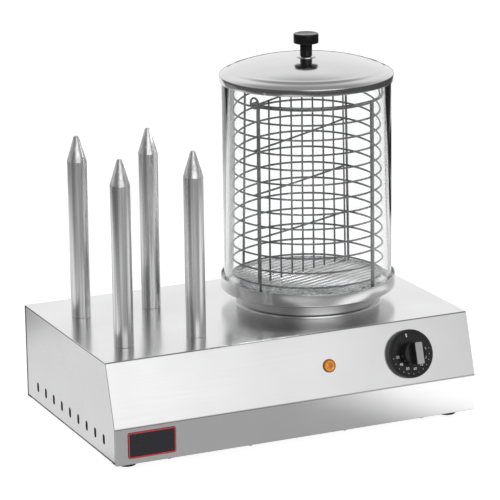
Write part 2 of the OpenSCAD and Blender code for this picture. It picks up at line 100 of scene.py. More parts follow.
WRAP_LOW, WRAP_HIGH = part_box("casing_wrap")
BASE_Z, TOP_Z = WRAP_LOW.z, WRAP_HIGH.z
HALF_W, HALF_D = WRAP_HIGH.x, WRAP_HIGH.y
SLOPE_TILT = math.atan2(TOP_INSET, TOP_Z - BASE_Z - LOWER_H)
AXIS = middle("glass_cylinder")
GLASS_LOW, GLASS_HIGH = heights("glass_cylinder")
GLASS_R = radius_of("glass_cylinder")
PAN_LOW, PAN_TOP = heights("steam_pan")
PAN_R = radius_of("steam_pan")
PLATE_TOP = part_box("steam_plate")[1].z
LID_LOW, APEX_Z = heights("lid_shell")
LID_R = radius_of("lid_shell")
KNOB_LOW, KNOB_TOP = heights("lid_knob")
KNOB_R = radius_of("lid_knob")
FIRST_RING = PLATE_TOP + 10.4 * MM
LAST_RING = FIRST_RING + RING_PITCH * (RING_COUNT - 1)
BAIL_Z = middle("basket_bail").z


# ---------------------------------------------------------------- mesh helpers

class Shape:
    """Vertices and faces of one piece, gathered part by part by calls that can be chained."""

    def __init__(self):
        self.verts = []
        self.faces = []

    def add(self, verts, faces):
        start = len(self.verts)
        self.verts += [tuple(v) for v in verts]
        self.faces += [[i + start for i in face] for face in faces]
        return self

    def lathe(self, profile, segments, centre=(0, 0)):
        """Revolves a profile of (radius, height) points about a vertical axis."""
        rings = []
        verts = []
        for r, z in profile:
            count = 1 if r < 1e-7 else segments
            rings.append([len(verts) + i for i in range(count)])
            verts += [(centre[0] + r * math.cos(math.tau * i / segments),
                       centre[1] + r * math.sin(math.tau * i / segments), z) for i in range(count)]
        faces = []
        for low, high in zip(rings, rings[1:] + rings[:1]):
            for i in range(segments):
                j = (i + 1) % segments
                corners = [low[i % len(low)], low[j % len(low)], high[j % len(high)], high[i % len(high)]]
                kept = list(dict.fromkeys(corners))
                if len(kept) > 2:
                    faces.append(kept)
        return self.add(verts, faces)

    def wire(self, points, radius, sides=12, closed=False):
        """A round wire along points, with softly rounded ends where it isn't closed."""
        points = [Vector(p) for p in points]
        count = len(points)
        tangents = []
        for i in range(count):
            before = points[i - 1] if closed or i else points[0]
            after = points[(i + 1) % count] if closed or i < count - 1 else points[-1]
            tangents.append((after - before).normalized())
        side = tangents[0].orthogonal().normalized()
        stations = []
        for i, (point, tangent) in enumerate(zip(points, tangents)):
            side = (side - tangent * side.dot(tangent)).normalized()
            stations.append((point, side, tangent.cross(side), radius))
        if closed:
            first, last = stations[0], stations[-1]
            turned = (last[1] - tangents[0] * last[1].dot(tangents[0])).normalized()
            twist = math.atan2(turned.dot(first[2]), turned.dot(first[1]))
            stations = [(p, s * math.cos(-twist * i / count) + b * math.sin(-twist * i / count),
                         b * math.cos(-twist * i / count) - s * math.sin(-twist * i / count), r)
                        for i, (p, s, b, r) in enumerate(stations)]
        else:
            ease = 0.35 * radius
            head, tail = stations[0], stations[-1]
            stations = ([(head[0], head[1], head[2], radius - ease),
                         (head[0] + tangents[0] * ease, head[1], head[2], radius)] + stations[1:-1]
                        + [(tail[0] - tangents[-1] * ease, tail[1], tail[2], radius),
                           (tail[0], tail[1], tail[2], radius - ease)])
        verts = [p + s * r * math.cos(math.tau * k / sides) + b * r * math.sin(math.tau * k / sides)
                 for p, s, b, r in stations for k in range(sides)]
        total = len(stations)
        faces = []
        for i in range(total if closed else total - 1):
            for k in range(sides):
                j, m = (i + 1) % total, (k + 1) % sides
                faces.append([i * sides + k, i * sides + m, j * sides + m, j * sides + k])
        if not closed:
            faces.append(list(range(sides))[::-1])
            faces.append([(total - 1) * sides + k for k in range(sides)])
        return self.add(verts, faces)

    def prism(self, outline, low, high):
        """A solid between two heights, from an outline of (x, y) points that turns anticlockwise."""
        count = len(outline)
        verts = [(x, y, low) for x, y in outline] + [(x, y, high) for x, y in outline]
        faces = [list(range(count))[::-1], [count + i for i in range(count)]]
        faces += [[i, (i + 1) % count, count + (i + 1) % count, count + i] for i in range(count)]
        return self.add(verts, faces)

    def hoop(self, outer, inner, low, high):
        """A band between two heights, from two outlines with as many points each."""
        n = len(outer)
        verts = [(x, y, z) for z in (low, high) for outline in (outer, inner) for x, y in outline]
        faces = []
        for i in range(n):
            j = (i + 1) % n
            faces += [[i, j, 2 * n + j, 2 * n + i], [n + j, n + i, 3 * n + i, 3 * n + j],
                      [i, n + i, n + j, j], [2 * n + i, 2 * n + j, 3 * n + j, 3 * n + i]]
        return self.add(verts, faces)

    def build(self, name, matrix=None, sharp=32):
        """The finished object, smooth but for edges sharper than that many degrees."""
        mesh = bpy.data.meshes.new(name)
        mesh.from_pydata(self.verts, [], self.faces)
        if matrix is not None:
            mesh.transform(matrix)
        work = bmesh.new()
        work.from_mesh(mesh)
        bmesh.ops.recalc_face_normals(work, faces=work.faces)
        work.to_mesh(mesh)
        work.free()
        mesh.shade_smooth()
        mesh.set_sharp_from_angle(angle=math.radians(sharp))
        obj = bpy.data.objects.new(name, mesh)
        bpy.context.scene.collection.objects.link(obj)
        return obj


def corner_arc(cx, cz, r, start, end, steps=5):
    """Points along a small arc in a profile, from one angle to another in degrees."""
    return [(cx + r * math.cos(math.radians(start + (end - start) * i / steps)),
             cz + r * math.sin(math.radians(start + (end - start) * i / steps))) for i in range(steps + 1)]


def circle_points(radius, z, start=0.0, end=360.0, steps=160, centre=None):
    """Points round the cylinder's axis; a full turn leaves out the last, which would repeat the first."""
    centre = AXIS if centre is None else centre
    full = abs(end - start) >= 360
    count = steps if full else steps + 1
    return [(centre[0] + radius * math.cos(math.radians(start + (end - start) * i / steps)),
             centre[1] + radius * math.sin(math.radians(start + (end - start) * i / steps)), z)
            for i in range(count)]


def modified(obj, kind, **values):
    """Applies one modifier with those values, and returns the object."""
    modifier = obj.modifiers.new(kind.lower(), kind)
    for key, value in values.items():
        setattr(modifier, key, value)
    mesh = bpy.data.meshes.new_from_object(obj.evaluated_get(bpy.context.evaluated_depsgraph_get()))
    obj.modifiers.clear()
    obj.data = mesh
    return obj


def cut(obj, cutter, softening=0.12 * MM):
    """Cuts cutter out of obj, then eases every edge sharper than a fold."""
    modified(obj, "BOOLEAN", object=cutter, operation="DIFFERENCE", solver="EXACT")
    bpy.data.objects.remove(cutter)
    return eased(obj, softening)


def eased(obj, width, segments=2):
    return modified(obj, "BEVEL", width=width, segments=segments, limit_method="ANGLE",
                    angle_limit=math.radians(35), harden_normals=True)


def rounded_rectangle(w, h, r, steps=6):
    """Anticlockwise outline of a rectangle with round corners, centred on 0, 0."""
    points = []
    for cx, cy, start in ((1, 1, 0), (-1, 1, 90), (-1, -1, 180), (1, -1, 270)):
        points += corner_arc(cx * (w / 2 - r), cy * (h / 2 - r), r, start, start + 90, steps)
    return points


def round_section(inner, outer, low, high, e, steps):
    """Profile of a plain ring with its four edges rounded by e."""
    corners = ((outer - e, low + e, 270), (outer - e, high - e, 0), (inner + e, high - e, 90),
               (inner + e, low + e, 180))
    return [point for x, z, start in corners for point in corner_arc(x, z, e, start, start + 90, steps)]


# ---------------------------------------------------------------- materials

class Nodes:
    """A material's node tree with short calls for the nodes used here."""

    def __init__(self, name="", material=None):
        self.material = material or bpy.data.materials.new(name)
        self.material.use_nodes = True
        self.tree = self.material.node_tree
        self.shader = self.tree.nodes["Principled BSDF"]

    def node(self, kind, **inputs):
        made = self.tree.nodes.new(kind)
        for key, value in inputs.items():
            made.inputs[key.replace("_", " ")].default_value = value
        return made

    def link(self, source, target):
        self.tree.links.new(source, target)

    def set(self, **values):
        for key, value in values.items():
            self.shader.inputs[key.replace("_", " ")].default_value = value

    def position(self):
        return self.node("ShaderNodeTexCoord").outputs["Object"]

    def place(self, scale=(1, 1, 1)):
        """The point on the piece, in metres, stretched by scale."""
        mapping = self.node("ShaderNodeMapping", Scale=scale)
        self.link(self.position(), mapping.inputs["Vector"])
        return mapping.outputs["Vector"]

    def vector_math(self, operation, source, value=None):
        made = self.node("ShaderNodeVectorMath")
        made.operation = operation
        if value is not None:
            made.inputs[1].default_value = value
        self.link(source, made.inputs[0])
        return made

    def distance(self, position, centre, keep=(1, 1, 1)):
        """Distance from a point, or from an axis where keep leaves out its direction."""
        offset = self.vector_math("SUBTRACT", position, centre).outputs[0]
        flat = self.vector_math("MULTIPLY", offset, keep).outputs[0]
        return self.vector_math("LENGTH", flat).outputs["Value"]

    def round_place(self, centre, radial, upright):
        """(distance from a vertical axis, 0, height), each scaled, for turned and spun metal."""
        position = self.position()
        height = self.node("ShaderNodeSeparateXYZ")
        self.link(position, height.inputs[0])
        joined = self.node("ShaderNodeCombineXYZ")
        self.link(self.distance(position, (centre[0], centre[1], 0), (1, 1, 0)), joined.inputs["X"])
        self.link(height.outputs["Z"], joined.inputs["Z"])
        mapping = self.node("ShaderNodeMapping", Scale=(radial, 1, upright))
        self.link(joined.outputs[0], mapping.inputs["Vector"])
        return mapping.outputs["Vector"]

    def noise(self, vector, scale, detail=3.0, roughness=0.55):
        made = self.node("ShaderNodeTexNoise", Scale=scale, Detail=detail, Roughness=roughness)
        self.link(vector, made.inputs["Vector"])
        return made.outputs["Fac"]

    def spread(self, value, low, high, start=0.3, end=0.7):
        """value from start..end becomes low..high."""
        made = self.node("ShaderNodeMapRange")
        for key, number in (("From Min", start), ("From Max", end), ("To Min", low), ("To Max", high)):
            made.inputs[key].default_value = number
        self.link(value, made.inputs["Value"])
        return made.outputs["Result"]

    def blend(self, value, first, second):
        """A colour between two, by value."""
        made = self.node("ShaderNodeMix")
        made.data_type = "RGBA"
        made.inputs["A"].default_value = (*first, 1)
        made.inputs["B"].default_value = (*second, 1)
        self.link(value, made.inputs["Factor"])
        return made.outputs["Result"]

    def bump(self, value, strength, distance):
        made = self.node("ShaderNodeBump", Strength=strength, Distance=distance)
        self.link(value, made.inputs["Height"])
        self.link(made.outputs["Normal"], self.shader.inputs["Normal"])

    def tone_down(self, away, start, end, least):
        """Scales the base colour by least up to start, rising to 1 at end."""
        base = self.shader.inputs["Base Color"]
        scale = self.vector_math("SCALE", base.links[0].from_socket)
        self.link(self.spread(away, least, 1.0, start, end), scale.inputs["Scale"])
        self.link(scale.outputs[0], base)


def grained(name, dark, light, rough, grain_scale, bump, grain=(1, 1, 1), cloud_scale=9.0, metallic=1.0,
            centre=None, **shader):
    """Metal, unless metallic says less: grain drives roughness and bump, soft clouds drive colour."""
    make = Nodes(name)
    place = make.place(grain) if centre is None else make.round_place(centre, grain[0], grain[2])
    fine = make.noise(place, grain_scale, 4.0)
    clouds = make.noise(make.place(), cloud_scale, 2.0)
    make.link(make.blend(make.spread(clouds, 0, 1), dark, light), make.shader.inputs["Base Color"])
    make.link(make.spread(fine, rough[0], rough[1]), make.shader.inputs["Roughness"])
    make.bump(fine, bump, GRAIN_DEPTH)
    make.set(Metallic=metallic, **shader)
    return make.material


def moulded(*values, **shader):
    """The same for plastic, rubber, ceramic or print."""
    return grained(*values, metallic=0.0, **shader)


def grey(value):
    return (value, value, value * 1.005)


GRAIN_DEPTH = 0.05 * MM
satin_x = grained("satin_steel", grey(0.74), grey(0.80), (0.15, 0.22), 260, 0.02, (0.06, 3, 3))
# End panel steel: a darker copy of satin_steel, painted shade on the sides, with its grain turned.
shaded_satin_panel = grained("satin_steel_panel_shaded", grey(0.66), grey(0.70), (0.2, 0.28), 260, 0.02, (1, 0.06, 3))
inner_steel = grained("inner_steel", grey(0.52), grey(0.6), (0.28, 0.4), 160, 0.05)
spun_pan = grained("spun_pan_steel", grey(0.68), grey(0.76), (0.16, 0.24), 240, 0.03, (3, 1, 3), centre=AXIS)
spun_lid = grained("polished_lid_steel", grey(0.62), grey(0.72), (0.1, 0.16), 150, 0.015, (2, 1, 2), centre=AXIS)
plate_steel = grained("perforated_plate_steel", grey(0.8), grey(0.88), (0.22, 0.34), 120, 0.03)
galvanised = grained("galvanised_sheet", grey(0.45), grey(0.62), (0.35, 0.5), 90, 0.05, cloud_scale=40)
zinc = grained("zinc_screws", grey(0.5), grey(0.62), (0.25, 0.4), 400, 0.05, cloud_scale=80)
# Near-black steel for the end panels' flange and baffle: painted shade in the gap and behind the slots.
shaded_steel = grained("shade_black_inner_steel", grey(0.012), grey(0.02), (0.5, 0.65), 160, 0.05)
sheath = grained("heater_sheath", (0.2, 0.18, 0.17), (0.3, 0.27, 0.25), (0.4, 0.55), 200, 0.05)
# Basket wire in two tones of one metal: near-black for rings, grid, eyes and bail as painted shade, near-white for
# the floor rods as painted light.
shaded_wire_metal = grained("basket_wire", grey(0.09), grey(0.15), (0.2, 0.3), 500, 0.03, cloud_scale=30)
lit_rod_metal = grained("floor_rods", grey(0.78), grey(0.9), (0.16, 0.28), 300, 0.03, cloud_scale=30)
inlay_grey = grained("grip_inlay", grey(0.32), grey(0.4), (0.28, 0.4), 500, 0.03, (3, 0.2, 1), metallic=0.6)
copper = grained("bulb_copper", (0.6, 0.3, 0.18), (0.72, 0.4, 0.26), (0.25, 0.4), 300, 0.04)
brass = grained("stud_brass", (0.55, 0.4, 0.16), (0.66, 0.5, 0.22), (0.22, 0.35), 300, 0.04)
silicone = moulded("seat_silicone", (0.66, 0.66, 0.64), (0.74, 0.74, 0.72), (0.4, 0.55), 400, 0.05)
rubber = moulded("foot_rubber", (0.012, 0.012, 0.012), (0.022, 0.022, 0.022), (0.5, 0.7), 700, 0.2,
                 cloud_scale=60, Specular_IOR_Level=0.06)
phenolic = moulded("black_phenolic", (0.006, 0.006, 0.006), (0.010, 0.010, 0.011), (0.14, 0.24), 500, 0.03,
                   cloud_scale=60, Specular_IOR_Level=0.3)
print_white = moulded("dial_print", (0.7, 0.7, 0.7), (0.8, 0.8, 0.8), (0.5, 0.6), 900, 0.03, cloud_scale=90)
badge_black = moulded("badge_face", (0.010, 0.010, 0.014), (0.016, 0.016, 0.022), (0.22, 0.3), 300, 0.02)
badge_red = moulded("badge_rim", (0.5, 0.012, 0.02), (0.6, 0.02, 0.03), (0.28, 0.36), 300, 0.02)
lamp_plastic = moulded("lamp_body", (0.03, 0.03, 0.03), (0.05, 0.05, 0.05), (0.4, 0.5), 300, 0.03)
ceramic = moulded("terminal_ceramic", (0.7, 0.68, 0.62), (0.78, 0.76, 0.7), (0.3, 0.5), 300, 0.05)
bakelite = moulded("cutout_bakelite", (0.09, 0.05, 0.03), (0.14, 0.08, 0.05), (0.3, 0.45), 200, 0.05)
loom_cover = moulded("loom_silicone", (0.3, 0.03, 0.02), (0.42, 0.05, 0.03), (0.45, 0.6), 300, 0.05)


def darken_folds(material, folds, reach):
    """Painted shade: tones the sheet down in a thin line along its folds, each given as (y, z)."""
    make = Nodes(material=material)
    position = make.position()
    for y, z in folds:
        make.tone_down(make.distance(position, (0, y, z), (0, 1, 1)), 0.3 * reach, reach, 0.5)


def stain_middle(material, centre, inner, outer, least):
    """Tones a plate down inside a radius: painted shade under the basket's floor rods."""
    make = Nodes(material=material)
    make.tone_down(make.distance(make.position(), centre, (1, 1, 0)), inner, outer, least)


def drawn_material():
    """Drawn aluminium: fine lines along the tube in tone, roughness and relief."""
    make = Nodes("drawn_aluminium")
    lines = make.noise(make.place((3.0, 3.0, 0.012)), 150, 3.0, 0.7)
    broad = make.noise(make.place((1, 1, 0.02)), 120, 1.0)
    tone = make.spread(lines, 0, 1, 0.34, 0.66)
    make.link(make.blend(tone, grey(0.5), grey(0.86)), make.shader.inputs["Base Color"])
    make.link(make.spread(broad, 0.24, 0.38), make.shader.inputs["Roughness"])
    make.bump(lines, 0.12, 0.0001)
    make.set(Metallic=1.0)
    return make.material


def glass_material():
    """Clear borosilicate with the faint waviness of drawn tube."""
    make = Nodes("clear_glass")
    wave = make.noise(make.place((1, 1, 0.25)), 22, 1.0)
    make.link(make.blend(make.spread(wave, 0, 1), (0.985, 0.99, 0.99), (0.995, 1.0, 1.0)),
              make.shader.inputs["Base Color"])
    make.link(make.spread(wave, 0.0, 0.006), make.shader.inputs["Roughness"])
    make.bump(wave, 0.05, 0.0004)
    make.set(Metallic=0.0, Transmission_Weight=1.0, IOR=1.47)
    return make.material


def amber_material():
    """Moulded amber lens: a painted ring of light round a browner middle over the neon, and a dark red-brown edge
    of painted shade.
    """
    make = Nodes("amber_lens")
    place = make.place()
    facets = make.node("ShaderNodeTexVoronoi", Scale=420.0)
    make.link(place, facets.inputs["Vector"])
    away = make.distance(place, middle("pilot_lamp_lens"))
    # Painted light in a bright amber ring; painted shade in the dark red-brown edge.
    inside = make.spread(away, 0, 1, 2.2 * MM, 5.2 * MM)
    painted_edge_shade = make.spread(away, 0, 1, 5.5 * MM, 7.4 * MM)
    warm = make.blend(inside, (0.28, 0.09, 0.015), (0.78, 0.26, 0.0))
    colour = make.node("ShaderNodeMix")
    colour.data_type = "RGBA"
    make.link(warm, colour.inputs["A"])
    colour.inputs["B"].default_value = (0.1, 0.015, 0.0, 1)
    make.link(painted_edge_shade, colour.inputs["Factor"])
    make.link(colour.outputs["Result"], make.shader.inputs["Base Color"])
    make.link(make.spread(facets.outputs["Distance"], 0.08, 0.16, 0.0, 0.8), make.shader.inputs["Roughness"])
    make.bump(facets.outputs["Distance"], 0.4, 0.0004)
    make.set(Metallic=0.0, Coat_Weight=0.3, Coat_Roughness=0.05)
    return make.material


spike_metal = drawn_material()
glass = glass_material()
amber = amber_material()


def piece(obj, body, slot, material, *stands_for):
    """Gives a new piece its material and body, and hides the CAD nodes that it stands for; its slot is not used."""
    obj.data.materials.clear()
    obj.data.materials.append(material)
    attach(obj, body)
    if stands_for:
        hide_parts(*stands_for)
    return obj


# ---------------------------------------------------------------- casing

def side_corners(d):
    """Corners of the casing's side outline, set in by d, in (y, z)."""
    bend = (math.pi / 2 + SLOPE_TILT) / 2
    fold = (math.pi - SLOPE_TILT) / 2
    front = -HALF_D
    return [(HALF_D - d, BASE_Z + d), (HALF_D - d, TOP_Z - d),
            (front + TOP_INSET + d / math.tan(bend), TOP_Z - d),
            (front + d, BASE_Z + LOWER_H - d * math.tan(math.pi / 2 - fold)),
            (front + d, BASE_Z + d)]


def fillet(before, corner, after, r, steps=10):
    """The corner drawn as an arc of radius r between its two neighbours."""
    p, q, s = Vector(before), Vector(corner), Vector(after)
    a, b = (p - q).normalized(), (s - q).normalized()
    half = a.angle(b) / 2
    centre = q + (a + b).normalized() * r / math.sin(half)
    start = q + a * r / math.tan(half) - centre
    sweep = (math.pi - 2 * half) * (-1 if a.x * b.y - a.y * b.x > 0 else 1)
    points = []
    for i in range(steps + 1):
        t = sweep * i / steps
        points.append((centre.x + start.x * math.cos(t) - start.y * math.sin(t),
                       centre.y + start.x * math.sin(t) + start.y * math.cos(t)))
    return points


def side_outline(d, r):
    k = side_corners(d)
    return ([k[0]] + fillet(k[0], k[1], k[2], r) + fillet(k[1], k[2], k[3], r)
            + fillet(k[2], k[3], k[4], r) + [k[4]])


ACROSS = Matrix(((0, 0, 1, 0), (1, 0, 0, 0), (0, 1, 0, 0), (0, 0, 0, 1)))


def on_slope(node):
    """The frame of the sloping face at a control: its middle, with Z straight out of the face."""
    at = middle("dial_spindle")
    return (Matrix.Translation((middle(node).x, at.y, at.z))
            @ Matrix.Rotation(math.pi / 2 - SLOPE_TILT, 4, "X"))


def round_cutter(holes):
    """Cylinders to cut with, each (matrix, radius, low, high)."""
    shape = Shape()
    for matrix, r, low, high in holes:
        start = len(shape.verts)
        shape.prism([(p[0], p[1]) for p in circle_points(r, 0, steps=64, centre=(0, 0))], low, high)
        shape.verts[start:] = [tuple(matrix @ Vector(v)) for v in shape.verts[start:]]
    return shape.build("cutter")


def build_wrap():
    """One folded sheet: rear, top, sloping face, foot strip and the two hems underneath."""
    outer = side_outline(0, FOLD_R)
    inner = side_outline(SHEET, FOLD_R - SHEET)
    y_rear, y_front = HALF_D - HEM, -HALF_D + HEM
    ring = ([(y_rear, BASE_Z)] + outer + [(y_front, BASE_Z), (y_front, BASE_Z + SHEET)]
            + inner[::-1] + [(y_rear, BASE_Z + SHEET)])
    wrap = Shape().prism(ring, -HALF_W, HALF_W).build("casing_shell", ACROSS)
    top = [(Matrix.Translation((AXIS.x, AXIS.y, TOP_Z)), radius_of("boiler_tank") + 0.4 * MM)]
    for name in SPIKES:
        spike = middle("spike_" + name)
        top.append((Matrix.Translation((spike.x, spike.y, TOP_Z)), SPIKE_HOLE_R))
    faces = [(on_slope("pilot_lamp_lens"), LAMP_HOLE_R), (on_slope("dial_spindle"), DIAL_HOLE_R)]
    gland = middle("cable_gland")
    rear = Matrix.Translation((gland.x, HALF_D, gland.z)) @ Matrix.Rotation(-math.pi / 2, 4, "X")
    holes = [(matrix, r, -5 * MM, 5 * MM) for matrix, r in [*top, *faces, (rear, GLAND_HOLE_R)]]
    cut(wrap, round_cutter(holes))
    # Painted shade along the top and lower front folds.
    darken_folds(satin_x, [side_corners(0)[2], side_corners(0)[3]], 1.4 * MM)
    piece(wrap, "base", "steel_satin", satin_x, "casing_wrap")


def build_end_panel(name, side):
    """Flat end panel with a turned-in flange, a row of upright slots and a baffle behind them; flange and baffle
    are near-black, as painted shade.
    """
    front_extra = 1.6 * MM
    face = [(y + (front_extra if y < 0 else 0), z)
            for y, z in side_outline(PANEL_GAP + SHEET + 0.3 * MM, 0.7 * MM)]
    outside = side_outline(SHEET + 0.05 * MM, FOLD_R - SHEET)
    inside = side_outline(6 * MM, 0.4 * MM)
    skin = -HALF_W + 0.7 * MM
    panel = Shape().prism(face, skin, skin + SHEET).build(name, ACROSS)
    slots = Shape()
    slot_z = BASE_Z + VENT_UP
    for i in range(VENT_COUNT):
        y = (i - (VENT_COUNT - 1) / 2) * VENT_PITCH
        outline = [(y + px, slot_z + pz) for px, pz in rounded_rectangle(VENT_W, VENT_H, VENT_W / 2 - 0.01 * MM)]
        slots.prism(outline, -HALF_W - 2 * MM, -HALF_W + 4 * MM)
    cut(panel, slots.build("cutter", ACROSS), 0.1 * MM)
    flange = Shape().hoop(outside, inside, -HALF_W + 2.2 * MM, -HALF_W + 1.4 * MM + HEM)
    # A near-black baffle behind the slots: a sheet of painted shade.
    y, z = VENT_PITCH * (VENT_COUNT - 1) / 2 + 8 * MM, VENT_H / 2 + 3 * MM
    shade_baffle = [(-y, slot_z - z), (y, slot_z - z), (y, slot_z + z), (-y, slot_z + z)]
    flange.prism(shade_baffle, -HALF_W + 1.8 * MM, -HALF_W + 2.6 * MM)
    rim = flange.build(name + "_flange", ACROSS)
    for obj in (panel, rim):
        if side > 0:
            obj.data.transform(Matrix.Scale(-1, 4, (1, 0, 0)))
            obj.data.flip_normals()
    piece(panel, "base", "steel_satin", shaded_satin_panel, "left_end_panel" if side < 0 else "right_end_panel")
    piece(rim, "base", "steel_inner", shaded_steel)


def build_feet():
    """Moulded feet: slightly tapered, with a soft lower edge and a screw well."""
    low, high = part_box("rubber_feet")
    x, y = high.x - FOOT_R, high.y - FOOT_R
    profile = ([(2.2 * MM, high.z), (2.2 * MM, 4 * MM), (4.6 * MM, 4 * MM), (4.6 * MM, low.z + 0.4 * MM)]
               + corner_arc(5.2 * MM, low.z + 0.6 * MM, 0.6 * MM, 180, 270, 3)
               + corner_arc(9.4 * MM, low.z + 1.6 * MM, 1.6 * MM, 270, 350, 5)
               + corner_arc(12.0 * MM, high.z - 0.5 * MM, 0.5 * MM, 0, 90, 3))
    for sx, side in ((-1, "left"), (1, "right")):
        for sy, end in ((-1, "front"), (1, "rear")):
            foot = Shape().lathe(profile, 64, (sx * x, sy * y)).build(f"foot_{end}_{side}")
            piece(foot, "base", "foot_rubber", rubber, *(["rubber_feet"] if (sx, sy) == (-1, -1) else []))


def build_badge():
    """Plain badge plate with a raised coloured rim and no lettering."""
    low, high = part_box("badge_plate")
    centre = (low + high) / 2
    w, h = high.x - low.x, high.z - low.z
    stand = Matrix.Translation((centre.x, high.y, centre.z)) @ Matrix.Rotation(math.pi / 2, 4, "X")
    thick = high.y - low.y
    plate = Shape().prism(rounded_rectangle(w, h, 2.5 * MM), 0, thick - 0.15 * MM)
    face = eased(plate.build("badge_face", stand), 0.12 * MM)
    outer = rounded_rectangle(w - 0.9 * MM, h - 0.9 * MM, 2.1 * MM)
    inner = rounded_rectangle(w - 3.5 * MM, h - 3.5 * MM, 1.0 * MM)
    rim = Shape().hoop(outer, inner, thick - 0.2 * MM, thick)
    piece(face, "base", "badge_dark", badge_black, "badge_plate")
    piece(rim.build("badge_rim", stand), "base", "badge_dark", badge_red)


# ---------------------------------------------------------------- boiler and pan

def build_neck():
    """Boiler tank with its neck, and the pressed ring where it comes through the top."""
    low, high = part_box("boiler_tank")
    r = radius_of("boiler_tank")
    profile = ([(0, low.z)] + corner_arc(r - 8 * MM, low.z + 8 * MM, 8 * MM, 270, 360, 8)
               + corner_arc(r - 0.5 * MM, high.z - 0.5 * MM, 0.5 * MM, 0, 180, 6)
               + corner_arc(r - 8 * MM, low.z + 8 * MM, 7 * MM, 360, 270, 8) + [(0, low.z + SHEET)])
    tank = Shape().lathe(profile, 192, AXIS)
    piece(tank.build("boiler_shell"), "base", "steel_inner", inner_steel, "boiler_tank")
    foot = heights("neck_trim_ring")[0]
    profile = ([(r + 0.05 * MM, foot), (r + 4 * MM, foot)]
               + corner_arc(r + 3.2 * MM, foot + 0.7 * MM, 0.7 * MM, 0, 75, 4)
               + corner_arc(r + 1.2 * MM, foot + 1.4 * MM, 1.0 * MM, 60, 150, 5)
               + [(r + 0.05 * MM, foot + 2.2 * MM)])
    ring = Shape().lathe(profile, 192, AXIS)
    piece(ring.build("neck_ring"), "base", "steel_satin", spun_lid, "neck_trim_ring")


def build_pan():
    """Deep-drawn steam pan with a rolled rim, and the silicone seat for the glass in it."""
    floor, gasket_top = heights("glass_gasket")
    bottom = floor - SHEET
    skirt = radius_of("boiler_tank") - 2 * MM
    profile = ([(skirt - SHEET, PAN_LOW), (skirt, PAN_LOW), (skirt, bottom - 0.6 * MM)]
               + corner_arc(PAN_R - 2.2 * MM, bottom + 2.2 * MM, 2.2 * MM, 270, 360, 8)
               + corner_arc(PAN_R - 0.55 * MM, PAN_TOP - 0.55 * MM, 0.55 * MM, 0, 180, 8)
               + corner_arc(PAN_R - 2.3 * MM, floor + 1.2 * MM, 1.2 * MM, 360, 270, 6)
               + corner_arc(skirt + 0.2 * MM, floor - 0.02 * MM - 1.2 * MM, 1.2 * MM, 90, 180, 5))
    pan = Shape().lathe(profile, 224, AXIS)
    piece(pan.build("steam_pan_shell"), "pan", "steel_pan", spun_pan, "steam_pan")
    profile = round_section(GLASS_R - 5.2 * MM, radius_of("glass_gasket"), floor, gasket_top, 0.35 * MM, 3)
    seat = Shape().lathe(profile, 192, AXIS)
    piece(seat.build("glass_seat"), "pan", "seat_silicone", silicone, "glass_gasket")


def build_glass():
    """Open glass tube with fire-polished rims."""
    profile = round_section(GLASS_R - GLASS_WALL, GLASS_R, GLASS_LOW, GLASS_HIGH, 1.6 * MM, 6)
    tube = Shape().lathe(profile, 256, AXIS).build("glass_tube")
    piece(tube, "glass", "clear_glass", glass, "glass_cylinder")
    tube.visible_shadow = False


# ---------------------------------------------------------------- basket

def build_cage():
    """Thirteen rings, spot-welded inside four posts."""
    cage = Shape()
    for i in range(RING_COUNT):
        cage.wire(circle_points(RING_R, FIRST_RING + i * RING_PITCH, steps=180), WIRE_R, 10, True)
    for turn, r in POSTS:
        at = math.radians(turn)
        reach = RING_R + POST_OUT
        x, y = AXIS.x + reach * math.cos(at), AXIS.y + reach * math.sin(at)
        cage.wire([(x, y, PLATE_TOP + 0.02 * MM), (x, y, (PLATE_TOP + LAST_RING) / 2), (x, y, LAST_RING + WIRE_R)],
                  r, 16)
    piece(cage.build("basket_rings_and_posts", sharp=60), "basket", "basket_wire", shaded_wire_metal, "basket_cage")


def grid_point(x, y, z):
    """A point given in the turned frame of the dividing grid."""
    t = math.radians(GRID_TURN)
    return (AXIS.x + x * math.cos(t) - y * math.sin(t), AXIS.y + x * math.sin(t) + y * math.cos(t), z)


def build_divider():
    """Flat grid of uprights and cross wires, turned in the basket and a little off its middle."""
    low = heights("basket_divider")[0]
    grid = Shape()
    for i in range(GRID_COUNT):
        x = (i - (GRID_COUNT - 1) / 2) * GRID_PITCH
        grid.wire([grid_point(x, GRID_OFF, z) for z in (low, LAST_RING + WIRE_R / 2)], WIRE_R, 12)
    for i in range(RING_COUNT - 1, 0, -3):
        z = FIRST_RING + i * RING_PITCH
        reach = RING_R - 2.5 * MM
        grid.wire([grid_point(s * reach, GRID_OFF + 1.7 * MM, z) for s in (-1, 0, 1)], WIRE_R, 12)
    piece(grid.build("dividing_grid", sharp=60), "basket", "basket_wire", shaded_wire_metal, "basket_divider")


def build_rack():
    """Floor rods of the basket on two cross ties."""
    low, high = heights("basket_floor_rack")
    reach = RING_R - ROD_R
    pitch = 2 * reach / (ROD_COUNT + 1)
    rack = Shape()
    for i in range(ROD_COUNT):
        y = (i - (ROD_COUNT - 1) / 2) * pitch
        x = math.sqrt(reach * reach - y * y)
        rack.wire([grid_point(s * x, y, high - ROD_R) for s in (-1, 0, 1)], ROD_R, 12)
    for x in (-TIE_X, TIE_X):
        y = math.sqrt(reach * reach - x * x)
        rack.wire([grid_point(x, s * y, low + TIE_R) for s in (-1, 0, 1)], TIE_R, 12)
    # The rods take the near-white copy of the basket wire: painted light.
    piece(rack.build("floor_rods", sharp=60), "basket", "basket_wire", lit_rod_metal, "basket_floor_rack")


